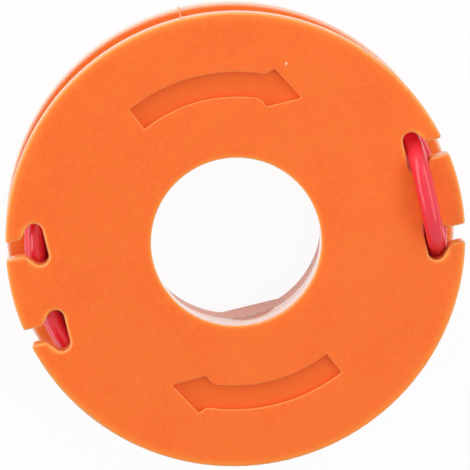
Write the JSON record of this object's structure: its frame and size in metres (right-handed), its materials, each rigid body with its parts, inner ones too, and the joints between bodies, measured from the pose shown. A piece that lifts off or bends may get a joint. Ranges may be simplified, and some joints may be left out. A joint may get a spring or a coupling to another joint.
{
  "type": "trimmer line spool",
  "caption": "Round two-flange spool wound with cutting line, with keyhole notches that catch the line's end, direction arrows and a bore with a flatted rear socket.",
  "frame": {"origin": "centre of the rear flange's face, which the spool stands on", "axes": "+Z along the spool's axis towards the arrowed front flange, +X towards the pair of notches that holds the line's end"},
  "size_m": [0.067, 0.067, 0.0203],
  "materials": {
    "spool_plastic": "fine matte moulded orange plastic",
    "line_nylon": "smooth extruded red nylon"
  },
  "bodies": {
    "root": {"spool_body": "spool_plastic", "trimmer_line": "line_nylon"}
  },
  "joints": []
}
